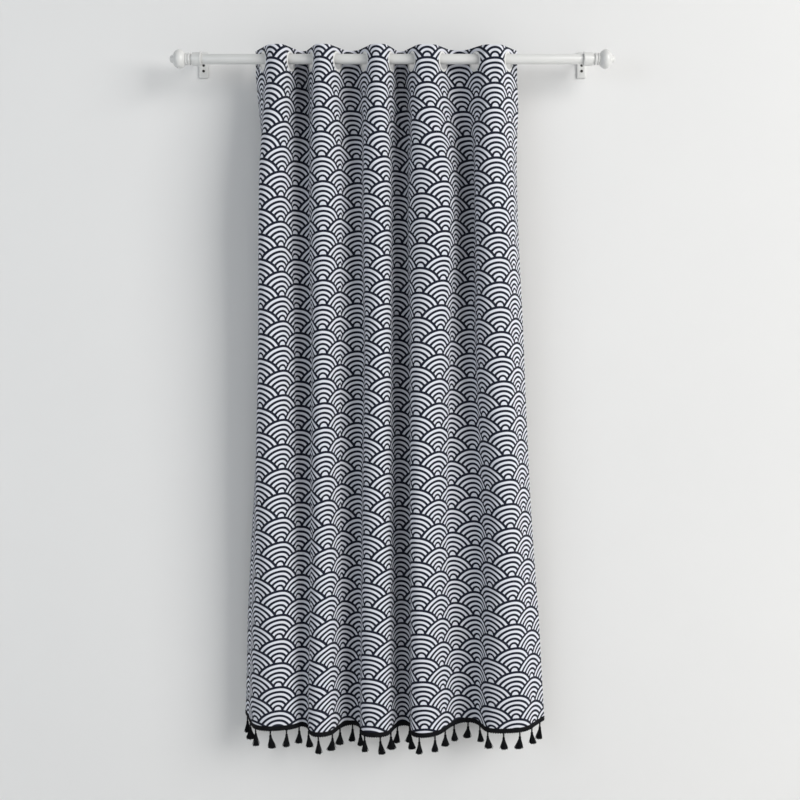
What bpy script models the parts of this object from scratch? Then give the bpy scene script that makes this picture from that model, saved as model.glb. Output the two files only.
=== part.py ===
"""Eyelet curtain with a tassel trim, hanging in folds from a wall-mounted curtain rod.

Metres, +Z up. The origin lies on the wall plane, at the height of the rod's axis and midway
between the two brackets. +X runs to the right and +Y into the wall.
"""

import math
from collections import namedtuple

import bmesh
import bpy
import numpy as np
from mathutils import Matrix, Vector

# Gap kept between pieces that touch
SEAT_GAP = 0.0003

# Rod, brackets and finials
ROD_DIAMETER = 0.026
ROD_TO_WALL = 0.100
BRACKET_SPACING = 1.006
ROD_SIDES = 32
RING_WALL = 0.0037
RING_LENGTH = 0.023
RING_BEAD = 0.0012
RING_BEAD_WIDTH = 0.0036
RING_SIDES = 24
ROD_PAST_RING = 0.005
PLATE_WIDTH = 0.024
PLATE_THICKNESS = 0.003
PLATE_TOP = 0.044
PLATE_BOTTOM = -0.024
PLATE_CORNER = 0.003
PLATE_CORNER_STEPS = 2
ARM_DIAMETER = 0.009
ARM_HEIGHT_AT_WALL = 0.027
ARM_SIDES = 16
SCREW_HEIGHTS = {"upper": 0.0092, "lower": -0.0058}
SCREW_SIDES = 12
SCREW_HEAD_DIAMETER = 0.007
SCREW_CROWN_DIAMETER = 0.0042
SCREW_HEAD_HEIGHT = 0.0022
SCREW_SHANK_DIAMETER = 0.0038
SCREW_HOLE_DIAMETER = 0.0046

# Cloth, as it lies flat
PANEL_WIDTH = 1.240
CLOTH_THICKNESS = 0.002
HEADING_TOP = 0.030
HEM = -1.740

# Eyelets
EYELET_COUNT = 10
SIDE_MARGIN = 0.060
EYELET_PITCH = (PANEL_WIDTH - 2 * SIDE_MARGIN) / (EYELET_COUNT - 1)
EYELET_BORE = 0.040
EYELET_DIAMETER = 0.056
EYELET_BARREL_WALL = 0.0015
EYELET_FLANGE = 0.0012
EYELET_HOLE = 0.0448
EYELET_SIDES = 16
EYELET_HANG = 0.0008
EYELET_Z = ROD_DIAMETER / 2 + EYELET_HANG - EYELET_BORE / 2

# The cloth stays flat this far to each side of an eyelet's centre, and gets loose below
FLAT = 0.029
FLAT_FADES_OVER = 0.25

# Tassel trim
BRAID_HEIGHT = 0.0097
BRAID_THICKNESS = 0.0024
TASSEL_COUNT = 29
TASSEL_SIDES = 6
CORD_RADIUS = 0.0009
CORD_IN_BRAID = 0.003

# How finely the cloth is divided
PATCH_CELLS = 4
FREE_CELLS = 6
ROWS_BELOW_EYELETS = 15
MARGIN_POINTS = 3
FOLD_STEPS = 120
SOLVER_ROUNDS = 26

# Heights at which the fold table below is written down
Levels = namedtuple("Levels", "head upper middle lower hem")
LEVELS = Levels(head=EYELET_Z - FLAT, upper=-0.267, middle=-0.723, lower=-1.236, hem=HEM)

# The cloth passes through the rod's plane once for each eyelet. A row gives one such crossing,
# left to right: its X at the five levels, how far across the cloth it has moved from its eyelet
# below the heading and at the hem, how far it lies behind the rod's plane at the hem, and how far
# the hem is drawn up there.
Crossing = namedtuple("Crossing", "head upper middle lower hem slide_below slide_hem back lift")
CROSSINGS = (
    Crossing(-0.333, -0.340, -0.348, -0.361, -0.373, 0.000, 0.014, 0.010, 0.012),
    Crossing(-0.262, -0.263, -0.262, -0.256, -0.247, 0.026, 0.050, 0.006, 0.013),
    Crossing(-0.209, -0.214, -0.209, -0.211, -0.221, -0.016, -0.034, -0.008, 0.000),
    Crossing(-0.142, -0.135, -0.138, -0.144, -0.148, -0.006, -0.050, 0.000, -0.003),
    Crossing(-0.072, -0.077, -0.073, -0.078, -0.084, -0.034, -0.053, 0.000, -0.003),
    Crossing(-0.003, -0.004, -0.003, -0.003, -0.003, -0.036, -0.060, 0.000, -0.005),
    Crossing(0.050, 0.043, 0.045, 0.048, 0.047, -0.062, -0.067, 0.000, 0.000),
    Crossing(0.130, 0.158, 0.151, 0.137, 0.140, -0.008, -0.052, 0.000, 0.002),
    Crossing(0.213, 0.213, 0.220, 0.238, 0.236, -0.024, -0.036, 0.006, 0.005),
    Crossing(0.298, 0.308, 0.323, 0.346, 0.372, 0.013, 0.005, 0.006, 0.008),
)

# Folds that stand towards the room hang lower than those behind, by this share of their depth
HANG_TILT = 0.085

# The cloth turns at least this steeply through the rod's plane, and lower down folds lean left
LEAST_TURN = math.radians(62)
LEAN_TURN = math.radians(9)

# Flatness of a fold's crest: below zero it is pointed, above zero it is broad
BOW_LOW = -0.9
BOW_HIGH = 1.3
STEEPEST_TURN = 2.4

# Finial, from the rod's end outwards: distance along it and radius
FinialStep = namedtuple("FinialStep", "along radius")
FINIAL = (
    FinialStep(0.0000, 0.0148),
    FinialStep(0.0010, 0.0158),
    FinialStep(0.0050, 0.0158),
    FinialStep(0.0062, 0.0132),
    FinialStep(0.0080, 0.0132),
    FinialStep(0.0090, 0.0158),
    FinialStep(0.0115, 0.0158),
    FinialStep(0.0130, 0.0140),
)
BALL_START = 0.0140
BALL_LENGTH = 0.0300
BALL_RADIUS = 0.0246
BALL_OPENS_AT = math.radians(38)
BALL_CLOSES_AT = math.radians(152)
BALL_STEPS = 7
FINIAL_SIDES = 20
NUB_LENGTH = 0.0090
NUB_ROUNDING = 0.0013
NUB_RADIUS = 0.0104
NUB_END_RADIUS = 0.0085
NUB_FACE_RADIUS = 0.0060

# Tassel, from the braid's lower edge down: drop and radius
TasselStep = namedtuple("TasselStep", "drop radius")
TASSEL = (
    TasselStep(0.0110, CORD_RADIUS),
    TasselStep(0.0125, 0.0030),
    TasselStep(0.0165, 0.0034),
    TasselStep(0.0185, 0.0030),
    TasselStep(0.0200, 0.0036),
)
SKIRT_DROP = 0.0450
SKIRT_RADIUS = 0.0098
SKIRT_CORE = 0.0026
LOCK_HALF_ANGLE = math.radians(25)
TASSEL_TURN = math.radians(137.5)
TASSEL_VARIATION = 0.05

WELD = 0.00001
SMOOTH_ANGLE = math.radians(40)

Finish = namedtuple("Finish", "colour roughness metallic")
PRINTED_CLOTH = Finish((0.30, 0.31, 0.36), 0.90, 0.0)
BLACK_YARN = Finish((0.012, 0.012, 0.014), 0.85, 0.0)
WHITE_PAINT = Finish((0.82, 0.81, 0.79), 0.35, 0.0)
WHITE_RING = Finish((0.80, 0.80, 0.80), 0.40, 0.0)
DARK_STEEL = Finish((0.08, 0.075, 0.07), 0.45, 0.9)


def clear_scene():
    """Remove whatever the scene holds before modelling starts."""
    for item in list(bpy.data.objects):
        bpy.data.objects.remove(item, do_unlink=True)


def finished(item, finish):
    """Give an object its own material."""
    material = bpy.data.materials.new(item.name)
    material.use_nodes = True
    shader = material.node_tree.nodes["Principled BSDF"]
    shader.inputs["Base Color"].default_value = (*finish.colour, 1.0)
    shader.inputs["Roughness"].default_value = finish.roughness
    shader.inputs["Metallic"].default_value = finish.metallic
    item.data.materials.append(material)
    return item


def placed(name, shape):
    """Turn a bmesh into a named object in the scene, shaded smooth up to its sharp edges."""
    bmesh.ops.recalc_face_normals(shape, faces=shape.faces)
    mesh = bpy.data.meshes.new(name)
    shape.to_mesh(mesh)
    shape.free()
    mesh.shade_smooth()
    mesh.set_sharp_from_angle(angle=SMOOTH_ANGLE)
    item = bpy.data.objects.new(name, mesh)
    bpy.context.collection.objects.link(item)
    return item


def as_cutter(item):
    """Mark an object that only cuts or feeds another one."""
    item.hide_render = True
    item.display_type = "WIRE"
    return item


def combine(item, other, operation):
    """Add a Boolean modifier to an object."""
    step = item.modifiers.new(operation.lower(), "BOOLEAN")
    step.operation = operation
    step.solver = "EXACT"
    step.object = as_cutter(other)


def thicken(item, thickness):
    """Give a sheet its thickness, half to each side."""
    solid = item.modifiers.new("thickness", "SOLIDIFY")
    solid.thickness = thickness
    solid.offset = 0.0
    solid.use_even_offset = True


def turned(name, profile, sides, ring):
    """Turn a profile of (along, radius) points about the X axis; a ring's profile is closed."""
    shape = bmesh.new()
    points = [shape.verts.new((along, 0.0, radius)) for along, radius in profile]
    if ring:
        pairs = list(zip(points, points[1:] + points[:1]))
    else:
        pairs = list(zip(points, points[1:]))
    edges = [shape.edges.new(pair) for pair in pairs]
    bmesh.ops.spin(
        shape,
        geom=points + edges,
        cent=(0.0, 0.0, 0.0),
        axis=(1.0, 0.0, 0.0),
        angle=math.tau,
        steps=sides,
    )
    bmesh.ops.remove_doubles(shape, verts=shape.verts, dist=WELD)
    return placed(name, shape)


def bar(name, start, end, radius, sides):
    """A round bar between two points."""
    start = Vector(start)
    along = Vector(end) - start
    place = Matrix.Translation(start + along / 2) @ along.to_track_quat("Z", "Y").to_matrix().to_4x4()
    shape = bmesh.new()
    bmesh.ops.create_cone(
        shape,
        cap_ends=True,
        segments=sides,
        radius1=radius,
        radius2=radius,
        depth=along.length,
        matrix=place,
    )
    return placed(name, shape)


def mean(values):
    """Trapezium mean of evenly spaced samples."""
    return float(values[1:].sum() + values[:-1].sum()) / 2 / (len(values) - 1)


def at_height(levels, values, z):
    """Read a smooth curve through values at falling heights; it is steady above the first."""
    depths = -np.array(levels)
    slopes = np.gradient(values, depths)
    slopes[0] = 0.0
    depth = min(max(-z, depths[0]), depths[-1])
    k = min(int(np.searchsorted(depths, depth, side="right")) - 1, len(depths) - 2)
    gap = depths[k + 1] - depths[k]
    t = (depth - depths[k]) / gap
    fade = 2 * t ** 3 - 3 * t ** 2 + 1
    leave = (t ** 3 - 2 * t ** 2 + t) * gap * slopes[k]
    arrive = (t ** 3 - t ** 2) * gap * slopes[k + 1]
    return float(fade * values[k] + (1 - fade) * values[k + 1] + leave + arrive)


def half_fold(bow):
    """Share of its end angle that the cloth keeps, from a crossing to the crest."""
    x = np.linspace(0.0, math.pi / 2, FOLD_STEPS + 1)
    return np.cos(x) * (1 - bow * np.sin(x) ** 2)


def natural_angle(length, span, flat):
    """Angle at which a fold of this length of cloth meets the rod's plane when it is span wide."""
    low = 0.0
    high = STEEPEST_TURN
    share = half_fold(0.0)
    for _ in range(SOLVER_ROUNDS):
        angle = (low + high) / 2
        reach = 2 * flat * math.cos(angle) + (length - 2 * flat) * mean(np.cos(angle * share))
        if reach > span:
            low = angle
        else:
            high = angle
    return angle


def fold_angles(length, span, lean, first, last, flat):
    """Angle of the cloth at even steps along one fold.

    The fold leaves one crossing at the first angle and meets the next at the last angle. Its
    crest is broadened or sharpened until the ends lie span apart, and moved along the cloth
    until the far end lies lean further out.
    """
    half = length / 2 - flat
    low = BOW_LOW
    high = BOW_HIGH
    for _ in range(SOLVER_ROUNDS):
        bow = (low + high) / 2
        share = half_fold(bow)
        rise = mean(np.sin(first * share))
        fall = mean(np.sin(last * share))
        shift = (lean - flat * (math.sin(first) - math.sin(last)) - half * (rise - fall)) / (rise + fall)
        shift = min(max(shift, -half / 2), half / 2)
        reach = flat * (math.cos(first) + math.cos(last))
        reach += (half + shift) * mean(np.cos(first * share))
        reach += (half - shift) * mean(np.cos(last * share))
        if reach < span:
            low = bow
        else:
            high = bow
    crest = length / 2 + shift
    along = np.linspace(0.0, length, 2 * FOLD_STEPS + 1)
    up = np.clip((along - flat) / (crest - flat), 0, 1) * math.pi / 2
    down = np.clip((length - flat - along) / (length - flat - crest), 0, 1) * math.pi / 2
    rising = first * np.cos(up) * (1 - bow * np.sin(up) ** 2)
    falling = -last * np.cos(down) * (1 - bow * np.sin(down) ** 2)
    return np.where(along < crest, rising, falling)


def slide_at(row, z):
    """How far across the cloth a crossing has moved from its eyelet."""
    levels = (LEVELS.head, LEVELS.upper, LEVELS.middle, LEVELS.hem)
    return at_height(levels, (0.0, row.slide_below, row.slide_below, row.slide_hem), z)


def crossing_angles(natural, loose):
    """Angle of the cloth at each crossing: between its two folds' own, with the lean added."""
    angles = [(before + after) / 2 for before, after in zip(natural, natural[1:])]
    angles = [natural[0]] + angles + [natural[-1]]
    return [max(angle, LEAST_TURN) + LEAN_TURN * loose * (-1) ** k for k, angle in enumerate(angles)]


def plan_curve(z):
    """The cloth seen from above at one height: distance across the cloth, X and Y."""
    xs = [at_height(LEVELS, row[:len(LEVELS)], z) for row in CROSSINGS]
    ys = [at_height((LEVELS.head, LEVELS.middle, LEVELS.hem), (0.0, 0.0, row.back), z) for row in CROSSINGS]
    cloth = [centre + slide_at(row, z) for centre, row in zip(eyelet_centres(), CROSSINGS)]
    loose = min(max((LEVELS.head - z) / FLAT_FADES_OVER, 0.0), 1.0)
    flat = FLAT * (1 - loose)
    natural = [natural_angle(length, span, flat) for length, span in zip(np.diff(cloth), np.diff(xs))]
    angles = crossing_angles(natural, loose)

    margin = np.linspace(1.0, 0.0, MARGIN_POINTS)
    first_margin = margin * cloth[0]
    last_margin = margin[::-1] * (PANEL_WIDTH - cloth[-1])
    across = [cloth[0] - first_margin]
    plan_x = [xs[0] - first_margin * math.cos(angles[0])]
    plan_y = [ys[0] + first_margin * math.sin(angles[0])]
    share = np.linspace(0.0, 1.0, 2 * FOLD_STEPS + 1)
    for k in range(EYELET_COUNT - 1):
        side = -1 if k % 2 == 0 else 1
        length = cloth[k + 1] - cloth[k]
        span = xs[k + 1] - xs[k]
        lean = side * (ys[k + 1] - ys[k])
        step = length / (2 * FOLD_STEPS)
        turn = fold_angles(length, span, lean, angles[k], angles[k + 1], flat)
        run = np.concatenate(([0.0], np.cumsum(np.cos(turn[1:]) + np.cos(turn[:-1])) * step / 2))
        out = np.concatenate(([0.0], np.cumsum(np.sin(turn[1:]) + np.sin(turn[:-1])) * step / 2))
        across.append(cloth[k] + share * length)
        plan_x.append(xs[k] + run + share * (span - run[-1]))
        plan_y.append(ys[k] + side * (out + share * (lean - out[-1])))
    across.append(cloth[-1] + last_margin)
    plan_x.append(xs[-1] + last_margin * math.cos(angles[-1]))
    plan_y.append(ys[-1] + last_margin * math.sin(angles[-1]))
    return np.concatenate(across), np.concatenate(plan_x), np.concatenate(plan_y) - ROD_TO_WALL


def hang(across, z):
    """Where points across the cloth lie when they hang at one height."""
    distance, plan_x, plan_y = plan_curve(z)
    x = np.interp(across, distance, plan_x)
    y = np.interp(across, distance, plan_y)
    down = max(LEVELS.head - z, 0.0) / (LEVELS.head - LEVELS.hem)
    lift = np.interp(across, eyelet_centres(), [row.lift for row in CROSSINGS])
    height = z + HANG_TILT * (y + ROD_TO_WALL) + lift * down
    return [Vector(place) for place in zip(x, y, height)]


def eyelet_centres():
    """Distances across the flat cloth of the eyelets' centres."""
    return [SIDE_MARGIN + k * EYELET_PITCH for k in range(EYELET_COUNT)]


def patch_lines():
    """Places of the grid lines at an eyelet, from one side of its patch to the other."""
    return [FLAT * (2 * k / PATCH_CELLS - 1) for k in range(PATCH_CELLS + 1)]


def cloth_columns():
    """Distances across the cloth of its grid lines: closer at each eyelet, even steps between."""
    columns = [0.0]
    free = (EYELET_PITCH - 2 * FLAT) / FREE_CELLS
    for centre in eyelet_centres():
        columns += [centre + place for place in patch_lines()]
        columns += [centre + FLAT + free * k for k in range(1, FREE_CELLS)]
    columns = [place for place in columns if place < PANEL_WIDTH - SIDE_MARGIN + FLAT + WELD]
    return columns + [PANEL_WIDTH]


def make_panel():
    """The cloth: a grid hung in its folds, with a round hole for each eyelet."""
    columns = cloth_columns()
    rows = [HEADING_TOP] + [EYELET_Z - place for place in patch_lines()]
    step = (HEM - rows[-1]) / ROWS_BELOW_EYELETS
    rows += [rows[-1] + step * k for k in range(1, ROWS_BELOW_EYELETS + 1)]
    shape = bmesh.new()
    grid = [[shape.verts.new(place) for place in hang(columns, z)] for z in rows]
    first_columns = [1 + k * (PATCH_CELLS + FREE_CELLS) for k in range(EYELET_COUNT)]
    cells = range(PATCH_CELLS)
    in_patch = {(1 + row, first + k) for row in cells for first in first_columns for k in cells}
    for row in range(len(rows) - 1):
        for column in range(len(columns) - 1):
            if (row, column) not in in_patch:
                upper = grid[row][column:column + 2]
                lower = grid[row + 1][column:column + 2]
                shape.faces.new((upper[0], lower[0], lower[1], upper[1]))
    for first in first_columns:
        add_hole(shape, grid, first)
    for vert in [vert for vert in shape.verts if not vert.link_faces]:
        shape.verts.remove(vert)
    panel = placed("curtain_panel", shape)
    thicken(panel, CLOTH_THICKNESS)
    return finished(panel, PRINTED_CLOTH)


def add_hole(shape, grid, first):
    """Fill the square patch at an eyelet with a ring of faces around a round hole."""
    cells = range(PATCH_CELLS)
    last = first + PATCH_CELLS
    lowest = 1 + PATCH_CELLS
    top = [grid[1][first + k] for k in cells]
    right = [grid[1 + k][last] for k in cells]
    bottom = [grid[lowest][last - k] for k in cells]
    left = [grid[lowest - k][first] for k in cells]
    border = top + right + bottom + left
    centre = grid[1 + PATCH_CELLS // 2][first + PATCH_CELLS // 2].co
    inner = []
    for vert in border:
        outward = (vert.co - centre).normalized()
        inner.append(shape.verts.new(centre + outward * EYELET_HOLE / 2))
    for k in range(len(border)):
        after = (k + 1) % len(border)
        shape.faces.new((border[k], inner[k], inner[after], border[after]))


def make_eyelets():
    """Two-flanged rings that grip the cloth around each hole and hang on the rod."""
    bore = EYELET_BORE / 2
    barrel = bore + EYELET_BARREL_WALL
    rim = EYELET_DIAMETER / 2
    groove = CLOTH_THICKNESS / 2 + SEAT_GAP
    width = groove + EYELET_FLANGE
    profile = (
        (-width, bore),
        (-width, rim),
        (-groove, rim),
        (-groove, barrel),
        (groove, barrel),
        (groove, rim),
        (width, rim),
        (width, bore),
    )
    for number, centre in enumerate(eyelet_centres(), start=1):
        before, middle, after = hang((centre - FLAT / 2, centre, centre + FLAT / 2), EYELET_Z)
        along = after - before
        eyelet = turned(f"eyelet_{number:02d}", profile, sides=EYELET_SIDES, ring=True)
        eyelet.location = middle
        eyelet.rotation_euler.z = math.atan2(along.y, along.x) + math.pi / 2
        finished(eyelet, WHITE_RING)


def add_tassel(shape, edge, number):
    """One tassel: cord, bound head and a skirt of locks that stand apart below the head."""
    sway = 1 + TASSEL_VARIATION * math.sin(number * TASSEL_TURN * 2)
    steps = [TasselStep(-CORD_IN_BRAID, CORD_RADIUS)] + list(TASSEL)
    start = number * TASSEL_TURN

    def ring(drop, radius, turn=0.0):
        points = []
        for k in range(TASSEL_SIDES):
            angle = start + turn + k * math.tau / TASSEL_SIDES
            offset = Vector((radius * math.cos(angle), radius * math.sin(angle), -drop))
            points.append(shape.verts.new(edge + offset))
        return points

    rings = [ring(step.drop, step.radius) for step in steps]
    shape.faces.new(rings[0])
    for upper, lower in zip(rings, rings[1:]):
        for k in range(TASSEL_SIDES):
            after = (k + 1) % TASSEL_SIDES
            shape.faces.new((upper[k], upper[after], lower[after], lower[k]))

    roots = rings[-1]
    middle = shape.verts.new(edge - Vector((0.0, 0.0, steps[-1].drop)))
    half = math.pi / TASSEL_SIDES
    drop = SKIRT_DROP * sway
    lefts = ring(drop, SKIRT_RADIUS * sway, half - LOCK_HALF_ANGLE)
    rights = ring(drop, SKIRT_RADIUS * sway, half + LOCK_HALF_ANGLE)
    cores = ring(drop, SKIRT_CORE, half)
    for k in range(TASSEL_SIDES):
        after = (k + 1) % TASSEL_SIDES
        shape.faces.new((roots[k], roots[after], rights[k], lefts[k]))
        shape.faces.new((roots[after], middle, cores[k], rights[k]))
        shape.faces.new((middle, roots[k], lefts[k], cores[k]))
        shape.faces.new((lefts[k], rights[k], cores[k]))


def make_trim():
    """The braid under the hem, with the tassels' cords run into it."""
    columns = cloth_columns()
    hem_line = hang(columns, HEM)
    shape = bmesh.new()
    rows = []
    for drop in (SEAT_GAP, SEAT_GAP + BRAID_HEIGHT):
        rows.append([shape.verts.new(place - Vector((0.0, 0.0, drop))) for place in hem_line])
    for k in range(len(columns) - 1):
        shape.faces.new((rows[0][k], rows[1][k], rows[1][k + 1], rows[0][k + 1]))
    lower_edge = [vert.co.copy() for vert in rows[1]]
    braid = placed("tassel_trim", shape)
    thicken(braid, BRAID_THICKNESS)

    tassels = bmesh.new()
    spacing = PANEL_WIDTH / TASSEL_COUNT
    for number in range(TASSEL_COUNT):
        across = spacing * (number + 0.5)
        edge = Vector([np.interp(across, columns, line) for line in zip(*lower_edge)])
        add_tassel(tassels, edge, number)
    combine(braid, placed("tassels", tassels), "UNION")
    return finished(braid, BLACK_YARN)


def make_rod():
    """The painted tube, plain from end to end."""
    reach = BRACKET_SPACING / 2 + RING_LENGTH / 2 + ROD_PAST_RING
    ends = [(side * reach, -ROD_TO_WALL, 0.0) for side in (-1, 1)]
    rod = bar("curtain_rod", *ends, ROD_DIAMETER / 2, ROD_SIDES)
    return finished(rod, WHITE_PAINT)


def finial_profile():
    """Neck ring and groove, then the ball as part of an ellipse, then the end nub."""
    steps = [(0.0, 0.0)] + [tuple(step) for step in FINIAL]
    opening = math.cos(BALL_OPENS_AT)
    closing = math.cos(BALL_CLOSES_AT)
    for k in range(BALL_STEPS + 1):
        angle = BALL_OPENS_AT + (BALL_CLOSES_AT - BALL_OPENS_AT) * k / BALL_STEPS
        along = BALL_START + BALL_LENGTH * (opening - math.cos(angle)) / (opening - closing)
        steps.append((along, BALL_RADIUS * math.sin(angle)))
    end = BALL_START + BALL_LENGTH
    steps.append((end + NUB_ROUNDING, NUB_RADIUS))
    steps.append((end + NUB_LENGTH - NUB_ROUNDING, NUB_END_RADIUS))
    steps.append((end + NUB_LENGTH, NUB_FACE_RADIUS))
    steps.append((end + NUB_LENGTH, 0.0))
    return steps


def make_finials():
    """Turned ball ends, one facing each way."""
    start = BRACKET_SPACING / 2 + RING_LENGTH / 2 + ROD_PAST_RING + SEAT_GAP
    for side, name in ((-1, "finial_left"), (1, "finial_right")):
        finial = turned(name, finial_profile(), sides=FINIAL_SIDES, ring=False)
        finial.location = (side * start, -ROD_TO_WALL, 0.0)
        if side < 0:
            finial.rotation_euler.z = math.pi
        finished(finial, WHITE_PAINT)


def make_bracket(side, name):
    """Wall plate, sloping arm and the ring that the rod lies in, as one welded piece."""
    x = side * BRACKET_SPACING / 2
    shape = bmesh.new()
    middle = (PLATE_TOP + PLATE_BOTTOM) / 2
    size = Matrix.Diagonal((PLATE_WIDTH, PLATE_THICKNESS, PLATE_TOP - PLATE_BOTTOM, 1.0))
    bmesh.ops.create_cube(shape, size=1.0, matrix=Matrix.Translation((x, -PLATE_THICKNESS / 2, middle)) @ size)
    corners = [edge for edge in shape.edges if abs(edge.verts[0].co.y - edge.verts[1].co.y) > WELD]
    bmesh.ops.bevel(
        shape,
        geom=corners,
        offset=PLATE_CORNER,
        segments=PLATE_CORNER_STEPS,
        affect="EDGES",
        profile=0.5,
    )
    bracket = placed(name, shape)

    bore = ROD_DIAMETER / 2 + SEAT_GAP
    outer = bore + RING_WALL
    half = RING_LENGTH / 2
    profile = (
        (-half, bore),
        (-half, outer),
        (half - RING_BEAD_WIDTH, outer),
        (half - RING_BEAD_WIDTH, outer + RING_BEAD),
        (half, outer + RING_BEAD),
        (half, bore),
    )
    inward = [(-side * along, radius) for along, radius in profile]
    ring = turned(f"{name}_ring", inward, sides=RING_SIDES, ring=True)
    ring.location = (x, -ROD_TO_WALL, 0.0)
    combine(bracket, ring, "UNION")

    rise = math.atan2(ARM_HEIGHT_AT_WALL, ROD_TO_WALL)
    seat = bore + RING_WALL / 2
    start = (x, -ROD_TO_WALL + seat * math.cos(rise), seat * math.sin(rise))
    end = (x, -PLATE_THICKNESS / 2, ARM_HEIGHT_AT_WALL)
    combine(bracket, bar(f"{name}_arm", start, end, ARM_DIAMETER / 2, ARM_SIDES), "UNION")

    for label, z in SCREW_HEIGHTS.items():
        front = (x, -2 * PLATE_THICKNESS, z)
        back = (x, PLATE_THICKNESS, z)
        hole = bar(f"{name}_hole_{label}", front, back, SCREW_HOLE_DIAMETER / 2, SCREW_SIDES)
        combine(bracket, hole, "DIFFERENCE")
    return finished(bracket, WHITE_PAINT)


def make_screws(side, side_name):
    """Pan-head screws through the wall plate, their shanks ended at its back."""
    head = SCREW_HEAD_DIAMETER / 2
    shank = SCREW_SHANK_DIAMETER / 2
    profile = (
        (0.0, 0.0),
        (0.0, SCREW_CROWN_DIAMETER / 2),
        (SCREW_HEAD_HEIGHT / 2, head),
        (SCREW_HEAD_HEIGHT, head),
        (SCREW_HEAD_HEIGHT, shank),
        (SCREW_HEAD_HEIGHT + PLATE_THICKNESS, shank),
        (SCREW_HEAD_HEIGHT + PLATE_THICKNESS, 0.0),
    )
    for label, z in SCREW_HEIGHTS.items():
        screw = turned(f"wall_screw_{side_name}_{label}", profile, sides=SCREW_SIDES, ring=False)
        screw.rotation_euler.z = math.pi / 2
        front = PLATE_THICKNESS + SEAT_GAP + SCREW_HEAD_HEIGHT
        screw.location = (side * BRACKET_SPACING / 2, -front, z)
        finished(screw, DARK_STEEL)


clear_scene()
make_panel()
make_eyelets()
make_trim()
make_rod()
make_finials()
for bracket_side, bracket_name in ((-1, "left"), (1, "right")):
    make_bracket(bracket_side, f"bracket_{bracket_name}")
    make_screws(bracket_side, bracket_name)
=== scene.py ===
"""The looks of a printed eyelet curtain with a tassel trim, hanging on a white curtain rod.

Metres, +Z up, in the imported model's frame: the origin lies on the wall plane, at the height of the
rod's axis and midway between the two brackets. +X runs to the right and +Y into the wall.
"""

import math
from collections import namedtuple

import bmesh
import bpy
import numpy as np
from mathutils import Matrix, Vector


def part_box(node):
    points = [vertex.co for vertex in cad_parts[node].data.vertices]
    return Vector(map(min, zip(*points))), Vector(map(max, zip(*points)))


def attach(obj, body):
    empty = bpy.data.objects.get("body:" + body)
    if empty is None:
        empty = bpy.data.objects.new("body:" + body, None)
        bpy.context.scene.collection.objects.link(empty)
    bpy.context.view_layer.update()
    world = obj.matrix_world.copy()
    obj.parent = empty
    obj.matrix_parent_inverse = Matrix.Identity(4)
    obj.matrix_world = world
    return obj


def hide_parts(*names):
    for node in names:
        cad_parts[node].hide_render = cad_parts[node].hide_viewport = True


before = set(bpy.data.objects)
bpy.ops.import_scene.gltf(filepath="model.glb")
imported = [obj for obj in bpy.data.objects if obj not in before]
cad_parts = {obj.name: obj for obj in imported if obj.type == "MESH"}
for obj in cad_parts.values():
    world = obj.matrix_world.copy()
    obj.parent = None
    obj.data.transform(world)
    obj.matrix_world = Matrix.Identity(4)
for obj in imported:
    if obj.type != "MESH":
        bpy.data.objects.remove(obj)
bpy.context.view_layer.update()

# Brackets
# Two steel pieces painted white. Each is welded from a pressed wall plate with rounded corners and
# two screw holes, a round arm that slopes down from it, and a short sleeve that the rod is pushed
# through, with a raised bead round its inner end.

rod_low, rod_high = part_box("curtain_rod")
plate_low, plate_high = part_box("bracket_right")
ROD_RADIUS = (rod_high.z - rod_low.z) / 2
ROD_Y = (rod_high.y + rod_low.y) / 2
ROD_END = rod_high.x
BRACKET_X = (plate_high.x + plate_low.x) / 2
PLATE_WIDTH = plate_high.x - plate_low.x
PLATE_THICKNESS = 0.003
PLATE_CORNER = 0.003
PLATE_EDGE = 0.0006
SLEEVE_FIT = 0.0002
SLEEVE_WALL = 0.0038
SLEEVE_LENGTH = 0.023
BEAD_LENGTH = 0.0036
BEAD_HEIGHT = 0.0012
ARM_RADIUS = 0.0045
ARM_HEIGHT_AT_WALL = 0.027
WELD_RADIUS = 0.0062
WELD_LENGTH = 0.0022
SCREW_HEIGHTS = {"upper": 0.0092, "lower": -0.0058}
SCREW_HOLE_RADIUS = 0.0023
SMOOTH_ANGLE = math.radians(35)
MERGE = 0.00002


def alone(piece):
    """Select one piece and nothing else."""
    bpy.ops.object.select_all(action="DESELECT")
    piece.select_set(True)
    bpy.context.view_layer.objects.active = piece


def added(name):
    """Name the primitive that was just added, and put its place and size into its mesh."""
    piece = bpy.context.active_object
    piece.name = name
    piece.data.name = name
    alone(piece)
    bpy.ops.object.transform_apply(location=True, rotation=True, scale=True)
    return piece


def start_edit(piece, kind):
    """Enter edit mode on a piece with nothing of it selected."""
    alone(piece)
    bpy.ops.object.mode_set(mode="EDIT")
    bpy.ops.mesh.select_mode(type=kind)
    bpy.ops.mesh.select_all(action="DESELECT")
    return bmesh.from_edit_mesh(piece.data)


def end_edit():
    """Merge doubled points, turn the faces outwards and leave edit mode."""
    bpy.ops.mesh.select_all(action="SELECT")
    bpy.ops.mesh.remove_doubles(threshold=MERGE)
    bpy.ops.mesh.normals_make_consistent(inside=False)
    bpy.ops.object.mode_set(mode="OBJECT")


def apply_step(piece, kind, **settings):
    """Put one modifier on a piece and apply it."""
    alone(piece)
    step = piece.modifiers.new(kind.lower(), kind)
    for name, value in settings.items():
        setattr(step, name, value)
    bpy.ops.object.modifier_apply(modifier=step.name)


def boolean(piece, other, operation):
    """Cut a piece with another one, or join the two into one skin."""
    apply_step(piece, "BOOLEAN", object=other, operation=operation, solver="EXACT")
    bpy.data.objects.remove(other, do_unlink=True)


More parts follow.
